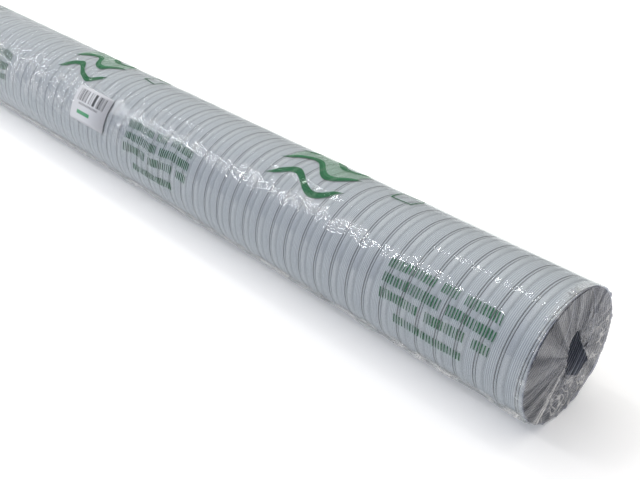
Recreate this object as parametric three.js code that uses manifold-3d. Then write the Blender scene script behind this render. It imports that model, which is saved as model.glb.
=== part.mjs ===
// A compressed aluminium flexible duct in its clear shrink sleeve, with a paper label on the sleeve.
// Millimetres, +Z up. The duct lies along X, and the origin is on the floor under its middle.

import * as THREE from "three";
import { mergeVertices } from "three/addons/utils/BufferGeometryUtils.js";
import Module from "manifold-3d";

// Duct, pushed together as it is sold. The wall runs from the bore to the crests of its waves.
const DUCT_LENGTH = 1000;
const DUCT_BORE = 80;
const WALL_DEPTH = 2;

// Lock seam: the strip winds left-handed, one pitch a turn, and its seam lies in a groove.
// The first seam is this far from the front end, on the side that faces -Y.
const SEAM_PITCH = 14;
const GROOVE_WIDTH = 3.4;
const GROOVE_DEPTH = 1;
const FIRST_SEAM_FROM_END = 3;

// Shrink sleeve, tucked over both ends. Each end is left with a long hole near its middle, whose top
// leans towards -Y, and whose middle lies aside of the axis towards +Y and a little below it.
const SLEEVE_THICKNESS = 0.4;
const HOLE_LENGTH = 38;
const HOLE_WIDTH = 15;
const HOLE_LEAN_ANGLE = 26;
const HOLE_ASIDE = 8;
const HOLE_BELOW = 1;

// Label: its front edge's distance from the front end, and its middle's angle up from the -Y side
const LABEL_LENGTH = 49;
const LABEL_WIDTH = 28.5;
const LABEL_THICKNESS = 0.2;
const LABEL_CORNER = 2;
const LABEL_FROM_END = 402;
const LABEL_UP_ANGLE = 33;

// Pieces that touch are kept this far apart
const GAP = 0.3;

// Every round is drawn with flats about this wide
const FLAT_WIDTH = 11;

// Radii are measured to the flats, so the duct lies at its true height
const boreRadius = DUCT_BORE / 2;
const crestRadius = boreRadius + WALL_DEPTH;
const halfDuct = DUCT_LENGTH / 2;
const sleeveInnerRadius = crestRadius + GAP;
const sleeveOuterRadius = sleeveInnerRadius + SLEEVE_THICKNESS;
const halfSleeveInside = halfDuct + GAP;
const halfSleeve = halfSleeveInside + SLEEVE_THICKNESS;
const labelInnerRadius = sleeveOuterRadius + GAP;
const labelOuterRadius = labelInnerRadius + LABEL_THICKNESS;

// The number of flats is a multiple of four, so that one of them faces down
const flats = 4 * Math.round((2 * Math.PI * crestRadius) / FLAT_WIDTH / 4);
const flatAngle = (2 * Math.PI) / flats;
const toCorner = 1 / Math.cos(flatAngle / 2);

const { Manifold, Mesh } = await loadManifold();

const enamel = new THREE.MeshStandardMaterial({ color: 0xdcdee2, roughness: 0.35, metalness: 0.1 });
const clearFilm = new THREE.MeshStandardMaterial({ color: 0xf2f5f5, roughness: 0.15, metalness: 0 });
clearFilm.transparent = true;
clearFilm.opacity = 0.3;
const paper = new THREE.MeshStandardMaterial({ color: 0xf6f6f4, roughness: 0.7, metalness: 0 });

async function loadManifold() {
  const wasm = await Module();
  wasm.setup();
  return wasm;
}

// Keeps only the positions, with each shared corner once and no triangle that has shrunk to a line
function weld(geometry) {
  const bare = new THREE.BufferGeometry();
  bare.setAttribute("position", geometry.getAttribute("position"));
  bare.setIndex(geometry.getIndex());
  const merged = mergeVertices(bare);
  const corners = merged.getIndex().array;
  const kept = [];
  for (let i = 0; i < corners.length; i += 3) {
    const [a, b, c] = corners.slice(i, i + 3);
    if (a !== b && b !== c && c !== a) kept.push(a, b, c);
  }
  merged.setIndex(kept);
  return merged;
}

function toSolid(geometry) {
  const welded = weld(geometry);
  return new Manifold(
    new Mesh({
      numProp: 3,
      vertProperties: new Float32Array(welded.getAttribute("position").array),
      triVerts: new Uint32Array(welded.getIndex().array),
    }),
  );
}

function fromSolid(solid) {
  const mesh = solid.getMesh();
  const geometry = new THREE.BufferGeometry();
  geometry.setAttribute("position", new THREE.BufferAttribute(mesh.vertProperties, 3));
  geometry.setIndex(new THREE.BufferAttribute(mesh.triVerts, 1));
  return geometry;
}

// A closed profile of [x, radius] points, turned about the X axis. Its outer side runs towards +X.
function turned(profile) {
  const points = profile.map(([x, radius]) => new THREE.Vector2(radius * toCorner, x));
  points.push(points[0].clone());
  const geometry = new THREE.LatheGeometry(points, flats, flatAngle / 2);
  geometry.rotateZ(-Math.PI / 2);
  return weld(geometry);
}

// Depth of the seam's groove at x on the first corner line, where a seam passes through seamX
function grooveDepth(x, seamX) {
  const turns = (x - seamX) / SEAM_PITCH;
  const fromSeam = Math.abs(turns - Math.round(turns)) * SEAM_PITCH;
  return GROOVE_DEPTH * Math.max(0, 1 - fromSeam / (GROOVE_WIDTH / 2));
}

// The skin is a grid of stations along X and corner lines around. Each corner line is moved on by its
// share of the pitch, so the last one meets the first a whole turn further along. What runs past an
// end is brought back to it, which cuts both ends square, and the bore closes the skin inside.
function ductGeometry() {
  const seamX = halfDuct - FIRST_SEAM_FROM_END + SEAM_PITCH / flats / 2;
  const acrossGroove = [-GROOVE_WIDTH / 2, 0, GROOVE_WIDTH / 2];
  const firstTurn = Math.floor((-halfDuct - seamX) / SEAM_PITCH) - 2;
  const lastTurn = Math.ceil((halfDuct - seamX) / SEAM_PITCH) + 1;
  const positions = [];
  const addCorner = (x, radius, line) => {
    const angle = (line + 1 / 2) * flatAngle;
    const reach = radius * toCorner;
    positions.push(x, -reach * Math.cos(angle), reach * Math.sin(angle));
  };
  for (let turn = firstTurn; turn <= lastTurn; turn += 1) {
    for (const offset of acrossGroove) {
      for (let line = 0; line < flats; line += 1) {
        const movedOn = (line / flats) * SEAM_PITCH;
        const wound = seamX + turn * SEAM_PITCH + offset + movedOn;
        const x = THREE.MathUtils.clamp(wound, -halfDuct, halfDuct);
        addCorner(x, crestRadius - grooveDepth(x - movedOn, seamX), line);
      }
    }
  }
  for (const x of [halfDuct, -halfDuct]) {
    for (let line = 0; line < flats; line += 1) addCorner(x, boreRadius, line);
  }
  const stations = (lastTurn - firstTurn + 1) * acrossGroove.length;
  const rings = stations + 2;
  const corner = (ring, line) => {
    const wrapped = ring % rings;
    if (line < flats) return wrapped * flats + line;
    if (wrapped >= stations) return wrapped * flats;
    return Math.min(wrapped + acrossGroove.length, stations - 1) * flats;
  };
  const triangles = [];
  for (let ring = 0; ring < rings; ring += 1) {
    for (let line = 0; line < flats; line += 1) {
      const here = corner(ring, line);
      const along = corner(ring + 1, line);
      const across = corner(ring, line + 1);
      const beyond = corner(ring + 1, line + 1);
      triangles.push(here, along, beyond, here, beyond, across);
    }
  }
  const geometry = new THREE.BufferGeometry();
  geometry.setAttribute("position", new THREE.Float32BufferAttribute(positions, 3));
  geometry.setIndex(triangles);
  return weld(geometry);
}

// A closed drum with its hollow and the holes in its two ends cut out
function sleeveGeometry() {
  const drum = (halfLength, radius) =>
    turned([
      [-halfLength, 0],
      [-halfLength, radius],
      [halfLength, radius],
      [halfLength, 0],
    ]);
  const outline = new THREE.Shape();
  const lean = THREE.MathUtils.degToRad(HOLE_LEAN_ANGLE);
  outline.absellipse(HOLE_BELOW, HOLE_ASIDE, HOLE_LENGTH / 2, HOLE_WIDTH / 2, 0, 2 * Math.PI, false, lean);
  const bar = new THREE.ExtrudeGeometry(outline, {
    depth: 4 * halfSleeve,
    bevelEnabled: false,
    curveSegments: 20,
  });
  bar.translate(0, 0, -2 * halfSleeve);
  bar.rotateY(Math.PI / 2);
  const hollow = toSolid(drum(halfSleeveInside, sleeveInnerRadius));
  return fromSolid(toSolid(drum(halfSleeve, sleeveOuterRadius)).subtract(hollow).subtract(toSolid(bar)));
}

function roundedRectangle(length, width, corner) {
  const shape = new THREE.Shape();
  const endX = length / 2;
  const endY = width / 2;
  shape.moveTo(-endX + corner, -endY);
  shape.lineTo(endX - corner, -endY);
  shape.absarc(endX - corner, -endY + corner, corner, -Math.PI / 2, 0);
  shape.lineTo(endX, endY - corner);
  shape.absarc(endX - corner, endY - corner, corner, 0, Math.PI / 2);
  shape.lineTo(-endX + corner, endY);
  shape.absarc(-endX + corner, endY - corner, corner, Math.PI / 2, Math.PI);
  shape.lineTo(-endX, -endY + corner);
  shape.absarc(-endX + corner, -endY + corner, corner, Math.PI, (3 * Math.PI) / 2);
  return shape;
}

// A ring on the sleeve, cut to the label's outline by a rounded bar that stands out along the radius
function labelGeometry() {
  const middleX = halfSleeve - LABEL_FROM_END - LABEL_LENGTH / 2;
  const ring = turned([
    [middleX - LABEL_LENGTH, labelOuterRadius],
    [middleX + LABEL_LENGTH, labelOuterRadius],
    [middleX + LABEL_LENGTH, labelInnerRadius],
    [middleX - LABEL_LENGTH, labelInnerRadius],
  ]);
  const chord = 2 * labelOuterRadius * Math.sin(LABEL_WIDTH / labelOuterRadius / 2);
  const outline = roundedRectangle(LABEL_LENGTH, chord, LABEL_CORNER);
  const bar = new THREE.ExtrudeGeometry(outline, {
    depth: labelOuterRadius * 2,
    bevelEnabled: false,
    curveSegments: 3,
  });
  bar.rotateX(Math.PI / 2 - THREE.MathUtils.degToRad(LABEL_UP_ANGLE));
  bar.translate(middleX, 0, 0);
  return fromSolid(toSolid(ring).intersect(toSolid(bar)));
}

function part(name, geometry, material) {
  const mesh = new THREE.Mesh(geometry, material);
  mesh.name = name;
  mesh.position.z = sleeveOuterRadius;
  return mesh;
}

const group = new THREE.Group();
group.add(
  part("duct", ductGeometry(), enamel),
  part("wrap_film", sleeveGeometry(), clearFilm),
  part("label", labelGeometry(), paper),
);

export default group;
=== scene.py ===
"""The looks of a compressed aluminium flexible duct in its printed shrink sleeve, around its CAD frame."""

import math

import bpy
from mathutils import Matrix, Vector, noise


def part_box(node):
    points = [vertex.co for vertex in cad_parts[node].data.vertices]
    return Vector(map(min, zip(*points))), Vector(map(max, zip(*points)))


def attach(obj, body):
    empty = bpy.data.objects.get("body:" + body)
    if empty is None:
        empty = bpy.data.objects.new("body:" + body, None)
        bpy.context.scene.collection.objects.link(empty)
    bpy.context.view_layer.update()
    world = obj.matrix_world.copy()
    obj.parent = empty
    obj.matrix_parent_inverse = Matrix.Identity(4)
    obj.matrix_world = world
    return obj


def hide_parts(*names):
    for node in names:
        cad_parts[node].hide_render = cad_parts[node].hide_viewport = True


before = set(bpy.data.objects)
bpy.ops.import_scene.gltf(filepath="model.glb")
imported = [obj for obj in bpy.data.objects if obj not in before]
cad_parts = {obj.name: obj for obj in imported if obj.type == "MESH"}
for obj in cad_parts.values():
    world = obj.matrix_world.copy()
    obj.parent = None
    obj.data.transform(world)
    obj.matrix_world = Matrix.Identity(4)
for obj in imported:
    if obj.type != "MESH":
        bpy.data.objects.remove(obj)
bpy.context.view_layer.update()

MM = 0.001

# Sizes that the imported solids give, in millimetres
duct_low, duct_high = (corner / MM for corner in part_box("duct"))
film_low, film_high = (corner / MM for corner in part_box("wrap_film"))
label_low, label_high = (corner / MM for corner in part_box("label"))
label_middle = (label_low + label_high) / 2
AXIS_HEIGHT = (film_low.z + film_high.z) / 2
DUCT_END = duct_high.x
DUCT_RADIUS = (duct_high.z - duct_low.z) / 2
FILM_END = film_high.x
FILM_RADIUS = (film_high.z - film_low.z) / 2

# The strip: left-handed turns, and the first seam's place on the side that faces -Y
SEAM_PITCH = 14.0
FIRST_SEAM_FROM_END = 3.0
STRIP_THICKNESS = 0.15
RIB_PITCH = 1.2  # about 0.7 on the real strip, drawn coarser so that it can be seen
# Section across one turn, from a seam away from the front end: place along it and depth below the crests
STRIP_SECTION = (
    (0.0, 1.0),
    (0.3, 0.3),
    (1.45, 0.28),
    (1.75, 0.9),
    (2.05, 0.12),
    (2.4, 0.08),
    (8.75, 0.1),
    (8.95, 0.32),
    (9.2, 0.04),
    (11.4, 0.0),
    (13.3, 0.02),
    (13.7, 0.08),
    (SEAM_PITCH, 1.0),
)
RIBS_FROM, RIBS_TO = 2.4, 8.6

# Sleeve
FILM_THICKNESS = 0.06
FILM_REST_RADIUS = 42.32
RIM_RADIUS = 1.4
# The hole in the gathered film of each end: places aside of the axis and above it
HOLE_OUTLINE = (
    (4.3, 16.9),
    (7.7, 7.4),
    (20.6, -12.8),
    (10.9, -19.5),
    (-3.3, -11.0),
    (-3.9, 4.2),
    (-2.8, 15.0),
)
HOLE_MIDDLE = Vector((4.5, -2.0))
# Where the film is gathered: bands in mm round from the -Y side, and one along from the front end.
# The loose band is far from the front end.
UPPER_BAND, LOOSE_BAND, LOWER_BAND = (30, 41), (10, 44), (-44, -22)
RIM_BAND = (-2, 6)
# Folds that stand off the duct: degrees up from the -Y side, sway, thickness in degrees, height
FILM_FOLDS = ((-38, 5, 1.7, 3.2), (-46, 3, 2.0, 1.5), (118, 6, 4.0, 1.0))

# Print on the sleeve, whose rows give their height round the sleeve and the cells that hold bars
PRINT_REPEAT = 269.0
CELL_LENGTH, ROW_HEIGHT = 4.2, 5.9
BAR_PITCH = CELL_LENGTH / 2
PRINT_ROWS = (
    (30.6, ((6, 12), (13, 16), (17, 25))),
    (20.9, ((6, 14), (15, 25))),
    (11.2, ((6, 9), (10, 17), (18, 25))),
    (-1.5, ((10, 22),)),
)
# Three wavy strokes, which taper to their ends, and a pale band between two of them
STROKES_MIDDLE = (195.3, 68.0)
STROKES_HALF_LENGTH, STROKES_HALF_HEIGHT = 33, 22
STROKE_WAVE, STROKE_SWING = 46, 6.0
STROKE_SPACING, STROKE_HALF_WIDTH, STROKE_TAPER = 18, 2.7, 11
PALE_HALF_LENGTH = 28
# Thin frame: its two opposite corners, along and round, and the width of its line
FRAME_FROM, FRAME_TO = (123, 73), (140, 87)
FRAME_LINE = 1

# Label: its middle's angle up from the -Y side, in radians, then its sizes
LABEL_UP_ANGLE = math.atan2(label_middle.z - AXIS_HEIGHT, -label_middle.y)
LABEL_CORNER = 2.0
LABEL_THICKNESS = 0.12
BAR_WIDTH = 0.5
MARK_PITCH, MARK_WIDTH = 1.9, 1.2
# Its print, as mm from its front edge and mm above its middle
LABEL_BARS = ((7, 45), (1.8, 12))
LABEL_MARKS = ((13, 41), (-1.2, 0.6))
LABEL_STRIPE = ((22, 40), (-8.5, -5.5))


def linear(hex_colour, alpha=1.0):
    """An sRGB hex colour as the linear RGBA that shaders take."""
    parts = [int(hex_colour[i : i + 2], 16) / 255 for i in (1, 3, 5)]
    return (*(c / 12.92 if c <= 0.04045 else ((c + 0.055) / 1.055) ** 2.4 for c in parts), alpha)


def add(tree, kind, *inputs, **settings):
    """Adds a shader node. Inputs come in order or by name in a dict. A node stands for its first output."""
    made = tree.nodes.new("ShaderNode" + kind)
    for name, value in settings.items():
        setattr(made, name, value)
    given = {}
    for number, value in enumerate(inputs):
        given.update(value if isinstance(value, dict) else {number: value})
    for socket, value in given.items():
        if isinstance(value, bpy.types.Node):
            value = value.outputs[0]
        if isinstance(value, bpy.types.NodeSocket):
            tree.links.new(value, made.inputs[socket])
        elif value is not None:
            made.inputs[socket].default_value = value
    return made


def new_material(name):
    material = bpy.data.materials.new(name)
    material.use_nodes = True
    material.node_tree.nodes.clear()
    return material, material.node_tree


def surface_places(t):
    """Sockets that follow the round: mm from the front end, mm round from the -Y side, and mm into a turn."""
    place = add(t, "SeparateXYZ", add(t, "TexCoord").outputs["Object"])
    along = add(t, "Math", place.outputs["X"], -1 / MM, FILM_END, operation="MULTIPLY_ADD")
    above = add(t, "Math", place.outputs["Z"], AXIS_HEIGHT * MM, operation="SUBTRACT")
    ahead = add(t, "Math", place.outputs["Y"], -1.0, operation="MULTIPLY")
    angle = add(t, "Math", above, ahead, operation="ARCTAN2")
    around = add(t, "Math", angle, FILM_RADIUS, operation="MULTIPLY")
    first_seam = FILM_END - DUCT_END + FIRST_SEAM_FROM_END
    wound = add(t, "Math", angle, SEAM_PITCH / (2 * math.pi), along, operation="MULTIPLY_ADD")
    from_seam = add(t, "Math", wound, first_seam, operation="SUBTRACT")
    into_turn = add(t, "Math", from_seam, SEAM_PITCH, operation="FLOORED_MODULO")
    return along, around, into_turn


def band(t, place, start, end, soft=0.15):
    """1 where place lies between start and end, falling to 0 over soft on either side."""
    middle = add(t, "Math", place, (start + end) / 2, operation="SUBTRACT")
    off = add(t, "Math", middle, operation="ABSOLUTE")
    edge = (end - start) / 2
    return add(t, "MapRange", off, edge + soft / 2, edge - soft / 2, 0.0, 1.0)


def all_of(t, *masks):
    """The product of masks."""
    product = masks[0]
    for mask in masks[1:]:
        product = add(t, "Math", product, mask, operation="MULTIPLY")
    return product


def any_of(t, *masks):
    """The largest of masks."""
    largest = masks[0]
    for mask in masks[1:]:
        largest = add(t, "Math", largest, mask, operation="MAXIMUM")
    return largest


def ribs(t, into_turn):
    """The strip's rolled ribs, as a wave from -1 to 1 across them."""
    turned = add(t, "Math", into_turn, 2 * math.pi / RIB_PITCH, operation="MULTIPLY")
    return add(t, "Math", turned, operation="SINE")


def white_enamel():
    """Coil-coated aluminium: stove enamel, semi-gloss, with the strip's rolled ribs showing through it, as a
    bump and as painted shade in its colour.
    """
    material, t = new_material("white_stove_enamel")
    *_, into_turn = surface_places(t)
    rib = all_of(t, ribs(t, into_turn), band(t, into_turn, RIBS_FROM, RIBS_TO, 0.4))
    bump = add(t, "Bump", {"Height": rib, "Distance": 0.00006, "Strength": 1.0})
    # Painted shade: the colour runs between a darker and a lighter grey-white with the rib wave, standing in
    # for the ribs' own shading
    shade = add(t, "Math", rib, 0.5, 0.5, operation="MULTIPLY_ADD")
    enamel = add(t, "Mix", {0: shade, 6: linear("#9fa2ab"), 7: linear("#cfd1d8")}, data_type="RGBA")
    # Painted shade: the lock seam's two folds are darkened, as the shade gathered in them would be
    folds = any_of(
        t,
        band(t, into_turn, -0.3, 0.3, 0.2),
        band(t, into_turn, SEAM_PITCH - 0.3, SEAM_PITCH + 0.3, 0.2),
        band(t, into_turn, 1.48, 2.0, 0.2),
    )
    # Painted shade, a quarter as strong, along the step where the ribbed band ends
    stepped = all_of(t, band(t, into_turn, 8.75, 9.15, 0.2), 0.25)
    shaded = any_of(t, folds, stepped)
    colour = add(t, "Mix", {0: shaded, 6: enamel.outputs[2], 7: linear("#646466")}, data_type="RGBA")
    shader = add(
        t,
        "BsdfPrincipled",
        {"Base Color": colour.outputs[2], "Roughness": 0.36, "IOR": 1.5, "Normal": bump},
    )
    add(t, "OutputMaterial", shader)
    return material


def bare_aluminium():
    """The strip's uncoated back: rolled aluminium, dull grey, with the same ribs, as a bump and as painted
    shade and highlight in its colour.
    """
    material, t = new_material("bare_rolled_aluminium")
    *_, into_turn = surface_places(t)
    rib = ribs(t, into_turn)
    bump = add(t, "Bump", {"Height": rib, "Distance": 0.00016, "Strength": 1.0})
    # Painted shade and highlight: the colour runs from dark grey to near white with the rib wave
    shade = add(t, "Math", rib, 0.5, 0.5, operation="MULTIPLY_ADD")
    colour = add(t, "Mix", {0: shade, 6: linear("#9b9ea4"), 7: linear("#fbfcfd")}, data_type="RGBA")
    shader = add(
        t,
        "BsdfPrincipled",
        {"Base Color": colour.outputs[2], "Metallic": 1.0, "Roughness": 0.45, "Normal": bump},
    )
    add(t, "OutputMaterial", shader)
    return material


def filled_cells(t, place, groups):
    """1 inside groups of cells, each given as its first cell and the one after its last."""
    share = add(t, "Math", place, PRINT_REPEAT, operation="DIVIDE")
    ramp = add(t, "ValToRGB", share)
    ramp.color_ramp.interpolation = "CONSTANT"
    ramp.color_ramp.elements.remove(ramp.color_ramp.elements[1])
    ramp.color_ramp.elements[0].color = (0, 0, 0, 1)
    for first, after in groups:
        for cell, on in ((first, 1), (after, 0)):
            element = ramp.color_ramp.elements.new(cell * CELL_LENGTH / PRINT_REPEAT)
            element.color = (on, on, on, 1)
    return ramp


def print_masks(t, along, around):
    """The sleeve's print: rows of plain upright bars, wavy strokes and a thin frame, and the pale band."""
    place = add(t, "Math", along, PRINT_REPEAT, operation="FLOORED_MODULO")
    in_cell = add(t, "Math", place, BAR_PITCH, operation="FLOORED_MODULO")
    cell = add(t, "Math", add(t, "Math", place, BAR_PITCH, operation="DIVIDE"), operation="FLOOR")
    rows = []
    for number, (height, groups) in enumerate(PRINT_ROWS):
        seed = add(t, "Math", cell, 61.0 * number, operation="ADD")
        varied = add(t, "TexWhiteNoise", {"W": seed}, noise_dimensions="1D").outputs["Value"]
        bar_end = add(t, "Math", varied, 0.6, 0.9, operation="MULTIPLY_ADD")
        bar = all_of(
            t,
            add(t, "Math", in_cell, 0.4, operation="GREATER_THAN"),
            add(t, "Math", in_cell, bar_end, operation="LESS_THAN"),
        )
        row = band(t, around, height - ROW_HEIGHT / 2, height + ROW_HEIGHT / 2)
        rows.append(all_of(t, row, filled_cells(t, place, groups), bar))

    from_middle = add(t, "Math", place, STROKES_MIDDLE[0], operation="SUBTRACT")
    turned = add(t, "Math", from_middle, 2 * math.pi / STROKE_WAVE, operation="MULTIPLY")
    swing = add(t, "Math", add(t, "Math", turned, operation="SINE"), -STROKE_SWING, operation="MULTIPLY")
    raised = add(t, "Math", around, STROKES_MIDDLE[1], operation="SUBTRACT")
    level = add(t, "Math", raised, swing, operation="ADD")
    from_stroke = add(t, "Math", level, STROKE_SPACING / 2, operation="PINGPONG")
    half_width = add(
        t,
        "MapRange",
        add(t, "Math", from_middle, operation="ABSOLUTE"),
        STROKES_HALF_LENGTH - STROKE_TAPER,
        STROKES_HALF_LENGTH,
        STROKE_HALF_WIDTH,
        0.0,
        interpolation_type="SMOOTHSTEP",
    )
    strokes = all_of(
        t,
        add(t, "Math", from_stroke, half_width, operation="LESS_THAN"),
        band(t, level, -STROKES_HALF_HEIGHT, STROKES_HALF_HEIGHT),
        band(t, from_middle, -STROKES_HALF_LENGTH, STROKES_HALF_LENGTH),
    )
    pale = all_of(
        t,
        band(t, level, 0, STROKE_SPACING),
        band(t, from_middle, -PALE_HALF_LENGTH, PALE_HALF_LENGTH),
    )

    outer, inner = (
        all_of(
            t,
            band(t, place, FRAME_FROM[0] + inset, FRAME_TO[0] - inset),
            band(t, around, FRAME_FROM[1] + inset, FRAME_TO[1] - inset),
        )
        for inset in (0, FRAME_LINE)
    )
    frame_lines = add(t, "Math", outer, inner, operation="SUBTRACT")
    return any_of(t, *rows, strokes, frame_lines), pale


def drawn_in(t, along, around):
    """The print's places after shrinking, which pulls them about, more so away from the front end."""
    place = add(t, "CombineXYZ", along, around)
    pulled = add(t, "TexNoise", {"Vector": place, "Scale": 0.035, "Detail": 1.0}, noise_dimensions="2D")
    pull = add(t, "VectorMath", pulled.outputs[1], {1: (0.5, 0.5, 0.5)}, operation="SUBTRACT").outputs[0]
    reach = add(t, "MapRange", along, 60.0, 420.0, 3.0, 7.0)
    moved = add(t, "VectorMath", pull, {"Scale": reach}, operation="SCALE").outputs[0]
    split = add(t, "SeparateXYZ", add(t, "VectorMath", place, moved, operation="ADD"))
    return split.outputs["X"], split.outputs["Y"]


def off_middle(t, pattern):
    """How far a noise is from its middle value: 0 along winding lines."""
    return add(t, "Math", add(t, "Math", pattern, 0.5, operation="SUBTRACT"), operation="ABSOLUTE")


def side_film(t, along, around, on_side):
    """The film along the duct: its normal, how gathered it is, and its haze with painted glint lines."""
    flat_place = add(t, "CombineXYZ", along, around)
    # Scales here are per mm: crinkles lie about 5 mm apart, and are stronger in patches about 11 mm apart
    crinkle = add(
        t,
        "TexNoise",
        {"Vector": flat_place, "Scale": 0.19, "Detail": 2.0, "Roughness": 0.45, "Distortion": 1.4},
        noise_dimensions="2D",
    )
    scattered = add(
        t,
        "TexNoise",
        {"Vector": flat_place, "Scale": 0.09, "Detail": 1.0},
        noise_dimensions="2D",
    )
    patchy = add(t, "MapRange", scattered.outputs[0], 0.4, 0.6, 0.25, 1.0)
    upper = any_of(
        t,
        all_of(t, band(t, around, *UPPER_BAND, 10), add(t, "MapRange", along, 40.0, 180.0, 0.12, 1.0)),
        all_of(t, band(t, around, *LOOSE_BAND, 14), add(t, "MapRange", along, 290.0, 400.0, 0.0, 0.8)),
    )
    lower = band(t, around, *LOWER_BAND, 6)
    rim = band(t, along, *RIM_BAND, 4)
    gathered = all_of(t, any_of(t, upper, lower, rim), patchy)
    bent = all_of(t, any_of(t, all_of(t, upper, 0.5), lower, rim), patchy)
    strength = all_of(t, any_of(t, bent, 0.045), on_side)
    crinkled = add(t, "Bump", {"Height": crinkle.outputs[0], "Distance": 0.0058, "Strength": strength})

    # Far from the front end the film is looser, and creased on the slant
    slack = add(t, "MapRange", along, 330.0, 470.0, 0.0, 0.35)
    slanting = add(t, "VectorMath", flat_place, {1: (0.45, 1.0, 1.0)}, operation="MULTIPLY").outputs[0]
    creases = add(
        t,
        "TexNoise",
        {"Vector": slanting, "Scale": 0.12, "Detail": 1.5, "Distortion": 1.5},
        noise_dimensions="2D",
    )
    height = creases.outputs[0]
    creased = add(t, "Bump", {"Height": height, "Distance": 0.005, "Strength": slack, "Normal": crinkled})

    # Painted glints: thin white lines wind along the crinkles, and along the lower front the loose film is
    # doubled over into more haze
    lines = add(t, "MapRange", off_middle(t, crinkle), 0.0, 0.035, 0.8, 0.0)
    low_haze_and_glints = all_of(t, lower, patchy, add(t, "Math", lines, 0.3, operation="ADD"))
    painted_glint_lines = all_of(t, any_of(t, upper, rim), patchy, lines, 0.12)
    return creased, gathered, any_of(t, low_haze_and_glints, painted_glint_lines)


def end_film(t, place, beyond, side_normal):
    """The film drawn in over an end: its normal, and its haze with painted glint lines."""
    split = add(t, "SeparateXYZ", place)
    above = add(t, "Math", split.outputs["Z"], AXIS_HEIGHT * MM, operation="SUBTRACT")
    across = add(t, "CombineXYZ", 0.0, split.outputs["Y"], above)
    middle = (0, HOLE_MIDDLE.x * MM, HOLE_MIDDLE.y * MM)
    off_hole = add(t, "VectorMath", across, {1: middle}, operation="SUBTRACT")

    # Pleats run from the rim to the hole, and swing round as they near it
    out = add(t, "VectorMath", off_hole, operation="LENGTH").outputs["Value"]
    swing = add(t, "Math", out, 22.0, operation="MULTIPLY")
    spoke = add(t, "VectorMath", off_hole, operation="NORMALIZE").outputs[0]
    swung = add(t, "VectorRotate", {"Vector": spoke, "Axis": (1, 0, 0), "Angle": swing})
    step_out = add(t, "CombineXYZ", add(t, "Math", out, 14.0, operation="MULTIPLY"))
    pleat_place = add(t, "VectorMath", swung, step_out, operation="ADD").outputs[0]
    pleats = add(t, "TexNoise", {"Vector": pleat_place, "Scale": 2.6, "Detail": 1.5, "Distortion": 0.3})
    near_rim = add(t, "MapRange", beyond, (FILM_END - 7) * MM, (FILM_END - 1) * MM, 0.0, 0.6)
    pleated = add(
        t,
        "Bump",
        {"Height": pleats.outputs[0], "Distance": 0.0008, "Strength": near_rim, "Normal": side_normal},
    )

    # More layers lie on each other below the hole and towards +Y, with painted glints as fine white lines
    # along winding swirls
    towards_low = add(t, "VectorMath", off_hole, {1: (0, 14, -20)}, operation="DOT_PRODUCT").outputs["Value"]
    layered = add(t, "MapRange", towards_low, -0.3, 0.45, 0.1, 1.0)
    # Scales here are per metre, for folds about 20 mm apart
    patches = add(t, "TexNoise", {"Vector": place, "Scale": 48.0, "Detail": 1.0, "Distortion": 1.0})
    bunched = add(t, "MapRange", patches.outputs[0], 0.42, 0.6, 0.0, 0.17)
    streaks = add(t, "MapRange", pleats.outputs[0], 0.47, 0.58, 0.0, 0.055)
    swirl = add(t, "TexNoise", {"Vector": place, "Scale": 52.0, "Detail": 1.0, "Distortion": 1.6})
    lines = add(t, "MapRange", off_middle(t, swirl), 0.0, 0.03, 0.7, 0.0)
    bunched_haze_and_glints = add(t, "Math", bunched, lines, operation="ADD")
    haze = add(t, "Math", all_of(t, bunched_haze_and_glints, layered), streaks, operation="ADD")
    return pleated, haze


def clear_film():
    """Clear shrink film: glossy and crinkled where it has drawn in, printed green, hazy on the ends, with
    painted glint lines in its haze.
    """
    material, t = new_material("clear_shrink_film")
    along, around, into_turn = surface_places(t)
    place = add(t, "TexCoord").outputs["Object"]
    ink, pale_ink = print_masks(t, *drawn_in(t, along, around))
    beyond = add(t, "Math", add(t, "SeparateXYZ", place).outputs["X"], operation="ABSOLUTE")
    on_end = add(t, "MapRange", beyond, (FILM_END - RIM_RADIUS) * MM, (FILM_END - 0.6) * MM, 0.0, 1.0)
    on_side = add(t, "Math", 1.0, on_end, operation="SUBTRACT")
    side_normal, gathered, side_haze_and_glints = side_film(t, along, around, on_side)
    normal, end_haze_and_glints = end_film(t, place, beyond, side_normal)
    haze_and_glint_share = any_of(t, all_of(t, on_end, end_haze_and_glints), side_haze_and_glints, 0.03)

    tint = add(t, "Mix", {0: on_end, 6: linear("#f6f8f8"), 7: linear("#d9dbe1")}, data_type="RGBA")
    clear = add(t, "BsdfTransparent", {"Color": tint.outputs[2]})
    # The diffuse white layer carries the film's haze and its painted glint lines
    haze = add(t, "BsdfDiffuse", {"Color": linear("#dddcda")})
    hazy = add(t, "MixShader", haze_and_glint_share, clear, haze)
    pale = add(t, "BsdfDiffuse", {"Color": linear("#8dba9b")})
    part_printed = add(t, "MixShader", all_of(t, pale_ink, 0.22), hazy, pale)
    green = add(t, "BsdfDiffuse", {"Color": linear("#2a6e49")})
    printed = add(t, "MixShader", all_of(t, ink, 0.68), part_printed, green)
    gloss = add(t, "BsdfGlossy", {"Color": linear("#ffffff"), "Roughness": 0.03, "Normal": normal})

    # It lies tight, and so gleams most, on the strip's smooth crests and where it is gathered
    facing = add(t, "LayerWeight", {"Blend": 0.5, "Normal": normal}).outputs["Facing"]
    grazing = add(t, "Math", facing, 5.0, operation="POWER")
    tight = any_of(t, band(t, into_turn, 9.8, 12.6, 0.8), on_end)
    head_on = any_of(t, add(t, "MapRange", tight, 0.0, 1.0, 0.008, 0.035), all_of(t, gathered, 0.13))
    mirror = add(t, "Math", grazing, 0.2, head_on, operation="MULTIPLY_ADD")
    add(t, "OutputMaterial", add(t, "MixShader", mirror, printed, gloss))
    return material


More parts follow.
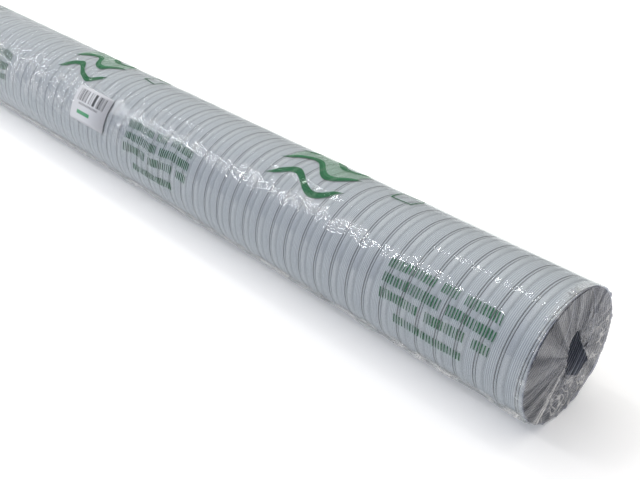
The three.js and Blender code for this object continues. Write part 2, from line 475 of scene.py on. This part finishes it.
def label_paper():
    """Coated label paper, white, with plain printed bars, small grey marks and a green stripe."""
    material, t = new_material("coated_label_paper")
    along, around, _ = surface_places(t)
    from_edge = add(t, "Math", along, FILM_END - label_high.x, operation="SUBTRACT")
    above_middle = add(t, "Math", around, FILM_RADIUS * LABEL_UP_ANGLE, operation="SUBTRACT")

    def block(across, up):
        """1 inside a rectangle of the label's print."""
        return all_of(t, band(t, from_edge, *across, 0.1), band(t, above_middle, *up, 0.1))

    cell = add(t, "Math", add(t, "Math", along, BAR_WIDTH, operation="DIVIDE"), operation="FLOOR")
    varied = add(t, "TexWhiteNoise", {"W": cell}, noise_dimensions="1D").outputs["Value"]
    bars = all_of(t, add(t, "Math", varied, 0.5, operation="GREATER_THAN"), block(*LABEL_BARS))
    into_mark = add(t, "Math", along, MARK_PITCH, operation="FLOORED_MODULO")
    marks = all_of(t, add(t, "Math", into_mark, MARK_WIDTH, operation="LESS_THAN"), block(*LABEL_MARKS))
    stripe = block(*LABEL_STRIPE)
    inked = add(t, "Mix", {0: bars, 6: linear("#c6c8cd"), 7: linear("#3a3c40")}, data_type="RGBA")
    marked = add(t, "Mix", {0: marks, 6: inked.outputs[2], 7: linear("#77797d")}, data_type="RGBA")
    striped = add(t, "Mix", {0: stripe, 6: marked.outputs[2], 7: linear("#3f8f63")}, data_type="RGBA")
    shader = add(t, "BsdfPrincipled", {"Base Color": striped.outputs[2], "Roughness": 0.5, "IOR": 1.5})
    add(t, "OutputMaterial", shader)
    return material


def start_piece(name, *materials):
    piece = bpy.context.object
    piece.name = piece.data.name = name
    for material in materials:
        piece.data.materials.append(material)
    return piece


def select_in_edit(piece, kind, wanted):
    """Selects only the vertices, edges or polygons that are wanted, and ends in edit mode."""
    if bpy.context.mode == "EDIT_MESH":
        bpy.ops.object.mode_set(mode="OBJECT")
    bpy.context.tool_settings.mesh_select_mode = [kind == each for each in ("vertices", "edges", "polygons")]
    mesh = piece.data
    for items in (mesh.vertices, mesh.edges, mesh.polygons):
        items.foreach_set("select", [False] * len(items))
    for item in getattr(mesh, kind):
        item.select = wanted(item)
    bpy.ops.object.mode_set(mode="EDIT")


def finish_piece(piece, node):
    """Puts the object at the origin with its place in its mesh, hangs it under the root body and hides the
    CAD part it stands for.
    """
    if bpy.context.mode == "EDIT_MESH":
        bpy.ops.object.mode_set(mode="OBJECT")
    bpy.ops.object.select_all(action="DESELECT")
    piece.select_set(True)
    bpy.context.view_layer.objects.active = piece
    bpy.ops.object.transform_apply(location=True, rotation=True, scale=True)
    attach(piece, "root")
    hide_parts(node)


def apply_modifier(piece, kind, **settings):
    modifier = piece.modifiers.new(kind.lower(), kind)
    for name, value in settings.items():
        setattr(modifier, name, value)
    bpy.context.view_layer.objects.active = piece
    bpy.ops.object.modifier_apply(modifier=modifier.name)


def face_outward(piece):
    """Makes a round piece's faces agree and look away from the axis, and leaves it in object mode."""
    bpy.ops.object.mode_set(mode="EDIT")
    bpy.ops.mesh.select_all(action="SELECT")
    bpy.ops.mesh.normals_make_consistent(inside=False)
    bpy.ops.object.mode_set(mode="OBJECT")
    axis = AXIS_HEIGHT * MM
    outward = sum(
        face.area * (face.normal.y * face.center.y + face.normal.z * (face.center.z - axis))
        for face in piece.data.polygons
    )
    if outward < 0:
        bpy.ops.object.mode_set(mode="EDIT")
        bpy.ops.mesh.flip_normals()
        bpy.ops.object.mode_set(mode="OBJECT")


def cut_square(x, keep_low):
    """Cuts the mesh in edit mode across X, in mm, and clears what lies beyond."""
    bpy.ops.mesh.select_all(action="SELECT")
    bpy.ops.mesh.bisect(
        plane_co=(x * MM, 0, AXIS_HEIGHT * MM),
        plane_no=(1, 0, 0),
        clear_outer=keep_low,
        clear_inner=not keep_low,
    )


def model_duct(steps_per_turn=48):
    """Draws the strip's section point by point, winds it with a screw, and cuts both ends square."""
    seam_x = DUCT_END - FIRST_SEAM_FROM_END
    turns = math.ceil(2 * DUCT_END / SEAM_PITCH) + 3
    start_x = seam_x + 2 * SEAM_PITCH
    bpy.ops.object.select_all(action="DESELECT")
    bpy.ops.mesh.primitive_plane_add(size=MM, location=(0, 0, AXIS_HEIGHT * MM))
    piece = start_piece("flexible_duct", white_enamel(), bare_aluminium())
    bpy.ops.object.mode_set(mode="EDIT")
    bpy.ops.mesh.merge(type="CENTER")
    section = [Vector((start_x - s, depth - DUCT_RADIUS, 0)) * MM for s, depth in STRIP_SECTION]
    bpy.ops.transform.translate(value=section[0])
    for here, there in zip(section, section[1:]):
        bpy.ops.mesh.extrude_vertices_move(TRANSFORM_OT_translate={"value": there - here})
    bpy.ops.object.mode_set(mode="OBJECT")
    apply_modifier(
        piece,
        "SCREW",
        axis="X",
        angle=2 * math.pi,
        screw_offset=-SEAM_PITCH * MM,
        iterations=turns,
        steps=steps_per_turn,
        render_steps=steps_per_turn,
        use_smooth_shade=True,
    )
    bpy.ops.object.mode_set(mode="EDIT")
    bpy.ops.mesh.select_all(action="SELECT")
    bpy.ops.mesh.remove_doubles(threshold=0.01 * MM)
    cut_square(DUCT_END, keep_low=True)
    cut_square(-DUCT_END, keep_low=False)
    face_outward(piece)
    apply_modifier(
        piece,
        "SOLIDIFY",
        thickness=STRIP_THICKNESS * MM,
        offset=-1.0,
        use_even_offset=True,
        material_offset=1,
        material_offset_rim=1,
    )
    finish_piece(piece, "duct")


def fold_height(s, phi):
    """How far the film stands off its rest radius, in mm, at s mm from the front end and phi degrees up."""
    height = 0.14
    # Loose folds run along the lower front and the upper back
    for middle, sway, thick, tall in FILM_FOLDS:
        bent = middle + sway * noise.noise(Vector((s / 60, middle, 0)))
        waxing = max(0, 0.45 + noise.noise(Vector((s / 22, middle, 7))))
        height += tall * waxing * math.exp(-(((phi - bent) / thick) ** 2))
    height += 0.2 * noise.noise(Vector((s / 9, phi / 14, 1.5)))
    return height


def pucker(s, phi):
    """The film's small tucks round the rim, in mm."""
    turn = Vector((math.cos(math.radians(phi)), math.sin(math.radians(phi)), s / 40))
    return 1.4 * math.exp(-max(0, s) / 3) * max(-0.1, noise.noise(turn * 9))


def place_film(co):
    """The film's crumpled place for a point of the plain sleeve, both in metres."""
    x, y, z = co.x / MM, co.y / MM, co.z / MM - AXIS_HEIGHT
    radius = math.hypot(y, z)
    phi = math.degrees(math.atan2(z, -y))
    s = FILM_END - abs(x)
    tuck = pucker(s, phi)
    if abs(x) > FILM_END - RIM_RADIUS:
        turn = Vector((math.cos(math.radians(phi)), math.sin(math.radians(phi)), radius / 60))
        pleat = 1 - 2 * abs(noise.noise(turn * 11)) + 0.6 * noise.noise(turn * 4)
        inward = min(1, max(0, (FILM_REST_RADIUS - radius) / 9))
        x += math.copysign(pleat * 0.9 * inward - 0.9 * inward + tuck * (1 - inward), x)
        height = tuck * (1 - inward)
    else:
        height = fold_height(s, phi) + tuck
    grown = (radius + height) / radius
    return Vector((x, y * grown, max(z * grown + AXIS_HEIGHT, 0.02))) * MM


def model_film(flats=180, rows=215, spokes=16):
    """A plain tube, turned in over both ends to a long hole, then crumpled and given its thickness."""
    straight = FILM_END - RIM_RADIUS
    bpy.ops.object.select_all(action="DESELECT")
    bpy.ops.mesh.primitive_cylinder_add(
        vertices=flats,
        radius=FILM_REST_RADIUS * MM,
        depth=2 * straight * MM,
        end_fill_type="NOTHING",
        location=(0, 0, AXIS_HEIGHT * MM),
        rotation=(0, math.pi / 2, 0),
    )
    piece = start_piece("shrink_sleeve", clear_film())
    bpy.ops.object.transform_apply(location=True, rotation=True, scale=True)
    ends = piece.data.vertices
    select_in_edit(piece, "edges", lambda e: abs(ends[e.vertices[0]].co.x - ends[e.vertices[1]].co.x) > MM)
    bpy.ops.mesh.subdivide(number_cuts=rows - 1)
    for side in (1, -1):
        turn_in_end(piece, side, spokes)
    bpy.ops.object.mode_set(mode="OBJECT")
    for vertex in piece.data.vertices:
        vertex.co = place_film(vertex.co)
    face_outward(piece)
    bpy.ops.object.shade_smooth()
    apply_modifier(piece, "SOLIDIFY", thickness=FILM_THICKNESS * MM, offset=-1.0)
    finish_piece(piece, "wrap_film")


def hole_reach(towards):
    """How far the hole's outline lies from its middle in a direction, in mm, a little ragged."""
    corners = [Vector(corner) - HOLE_MIDDLE for corner in HOLE_OUTLINE]
    for here, there in zip(corners, corners[1:] + corners[:1]):
        before, after = here.cross(towards), there.cross(towards)
        if before * after <= 0 and before != after:
            met = here.lerp(there, before / (before - after))
            if met.dot(towards) > 0:
                return met.length + 0.7 * noise.noise(met.to_3d() / 2)
    return corners[0].length


def turn_in_end(piece, side, spokes):
    """Rounds the film over one end's rim, then draws it in to the hole."""
    centre = (side * FILM_END * MM, 0, AXIS_HEIGHT * MM)
    furthest = max(side * v.co.x for v in piece.data.vertices)
    select_in_edit(piece, "vertices", lambda v: side * v.co.x > furthest - 0.01 * MM)
    steps = 4
    radius = FILM_REST_RADIUS
    for step in range(1, steps + 1):
        turn = math.pi / 2 * step / steps
        last = math.pi / 2 * (step - 1) / steps
        forward = RIM_RADIUS * (math.sin(turn) - math.sin(last)) * side * MM
        bpy.ops.mesh.extrude_edges_move(TRANSFORM_OT_translate={"value": (forward, 0, 0)})
        smaller = FILM_REST_RADIUS - RIM_RADIUS * (1 - math.cos(turn))
        share = smaller / radius
        bpy.ops.transform.resize(value=(1, share, share), center_override=centre)
        radius = smaller
    bpy.ops.mesh.extrude_edges_move(TRANSFORM_OT_translate={"value": (0, 0, 0)})
    bpy.ops.object.mode_set(mode="OBJECT")
    hole = {v.index for v in piece.data.vertices if v.select}
    for index in hole:
        co = piece.data.vertices[index].co
        towards = Vector((co.y, co.z - AXIS_HEIGHT * MM)).normalized()
        place = HOLE_MIDDLE + towards * hole_reach(towards)
        co.y, co.z = place.x * MM, (place.y + AXIS_HEIGHT) * MM
    select_in_edit(piece, "edges", lambda e: (e.vertices[0] in hole) != (e.vertices[1] in hole))
    bpy.ops.mesh.subdivide(number_cuts=spokes)


def model_label():
    """A flat rounded label, cut into strips and wrapped round the sleeve."""
    chord = Vector((0, label_high.y - label_low.y, label_high.z - label_low.z)).length
    radius = FILM_RADIUS + 0.1
    width = 2 * radius * math.asin(chord / 2 / radius)
    bpy.ops.object.select_all(action="DESELECT")
    bpy.ops.mesh.primitive_plane_add(size=1, location=(0, 0, 0))
    piece = start_piece("paper_label", label_paper())
    piece.scale = ((label_high.x - label_low.x) * MM, width * MM, 1)
    bpy.ops.object.transform_apply(location=True, rotation=True, scale=True)
    bpy.ops.object.mode_set(mode="EDIT")
    bpy.ops.mesh.select_all(action="SELECT")
    bpy.ops.mesh.bevel(offset=LABEL_CORNER * MM, segments=5, affect="VERTICES")
    strips = 24
    for strip in range(1, strips):
        bpy.ops.mesh.select_all(action="SELECT")
        cut = (strip / strips - 0.5) * width * MM
        bpy.ops.mesh.bisect(plane_co=(0, cut, 0), plane_no=(0, 1, 0))
    bpy.ops.object.mode_set(mode="OBJECT")
    for vertex in piece.data.vertices:
        x = label_middle.x + vertex.co.x / MM
        angle = LABEL_UP_ANGLE + vertex.co.y / MM / radius
        vertex.co = Vector((x, -radius * math.cos(angle), AXIS_HEIGHT + radius * math.sin(angle))) * MM
    bpy.ops.object.shade_smooth()
    apply_modifier(piece, "SOLIDIFY", thickness=LABEL_THICKNESS * MM, offset=1.0)
    finish_piece(piece, "label")


def window(name, x, up_angle, length, width, power, distance=1.5):
    """A soft light with its length along X, up_angle degrees up from the -Y side of the duct's axis."""
    data = bpy.data.lights.new(name, "AREA")
    data.shape = "RECTANGLE"
    data.size, data.size_y = length, width
    data.energy = power
    light = bpy.data.objects.new(name, data)
    up = math.radians(up_angle)
    light.location = (x, -distance * math.cos(up), AXIS_HEIGHT * MM + distance * math.sin(up))
    light.rotation_euler = (math.pi / 2 - up, 0, 0)
    bpy.context.scene.collection.objects.link(light)


def make_studio():
    """Pale floor, soft studio light and a pale surround."""
    bpy.ops.object.select_all(action="DESELECT")
    bpy.ops.mesh.primitive_plane_add(size=14, location=(0, 0, 0))
    material, t = new_material("pale_floor")
    lit_below = add(t, "Emission", {"Color": linear("#ffffff"), "Strength": 0.2})
    pale = add(t, "BsdfDiffuse", {"Color": linear("#f2f2f2")})
    add(t, "OutputMaterial", add(t, "AddShader", pale, lit_below))
    floor = start_piece("studio_floor", material)
    world = bpy.data.worlds.new("studio_surround")
    world.use_nodes = True
    t = world.node_tree
    t.nodes.clear()
    towards = add(t, "TexCoord").outputs["Generated"]
    overhead = Vector((-0.3, 0.1, 0.93)).normalized()
    near = add(t, "VectorMath", towards, {1: overhead}, operation="DOT_PRODUCT").outputs["Value"]
    share = add(t, "MapRange", near, -0.1, 1.0, 0.0, 1.0)
    eased = add(t, "Math", share, 1.6, operation="POWER")
    strength = add(t, "Math", eased, 1.85, 0.07, operation="MULTIPLY_ADD")
    in_front = add(t, "VectorMath", towards, {1: (0, -1, 0)}, operation="DOT_PRODUCT").outputs["Value"]
    cool = add(t, "MapRange", in_front, -0.2, 0.6, 0.0, 1.0)
    low = add(t, "Mix", {0: cool, 6: linear("#d9d3ca"), 7: linear("#a9bff2")}, data_type="RGBA")
    colour = add(t, "Mix", {0: share, 6: low.outputs[2], 7: linear("#fffdf9")}, data_type="RGBA")
    add(t, "OutputWorld", add(t, "Background", {"Color": colour.outputs[2], "Strength": strength}))
    bpy.context.scene.world = world
    for number, x in enumerate((-0.3, -0.9, -1.6, -2.4), 1):
        window(f"upper_window_{number}", x, 95, 0.14, 0.14, 1.2)
    window("front_window", -1.5, 53, 2.4, 0.055, 12)
    bpy.context.scene.view_settings.view_transform = "Standard"


def make_camera():
    """The photograph's camera: its place from the middle of the front end, its direction and its lens."""
    data = bpy.data.cameras.new("photo_camera")
    data.sensor_width = 36
    data.lens = 49.75
    data.clip_start = 0.01
    camera = bpy.data.objects.new("photo_camera", data)
    azimuth, elevation = 46.19, 32.0
    front_centre = Vector((FILM_END, 0, AXIS_HEIGHT))
    from_front = Vector((176.2, -357.9, 309.3))
    camera.location = (front_centre + from_front) * MM
    camera.rotation_euler = (math.radians(90 - elevation), 0, math.radians(azimuth))
    bpy.context.scene.collection.objects.link(camera)
    bpy.context.scene.camera = camera


make_camera()
make_studio()
model_duct()
model_film()
model_label()
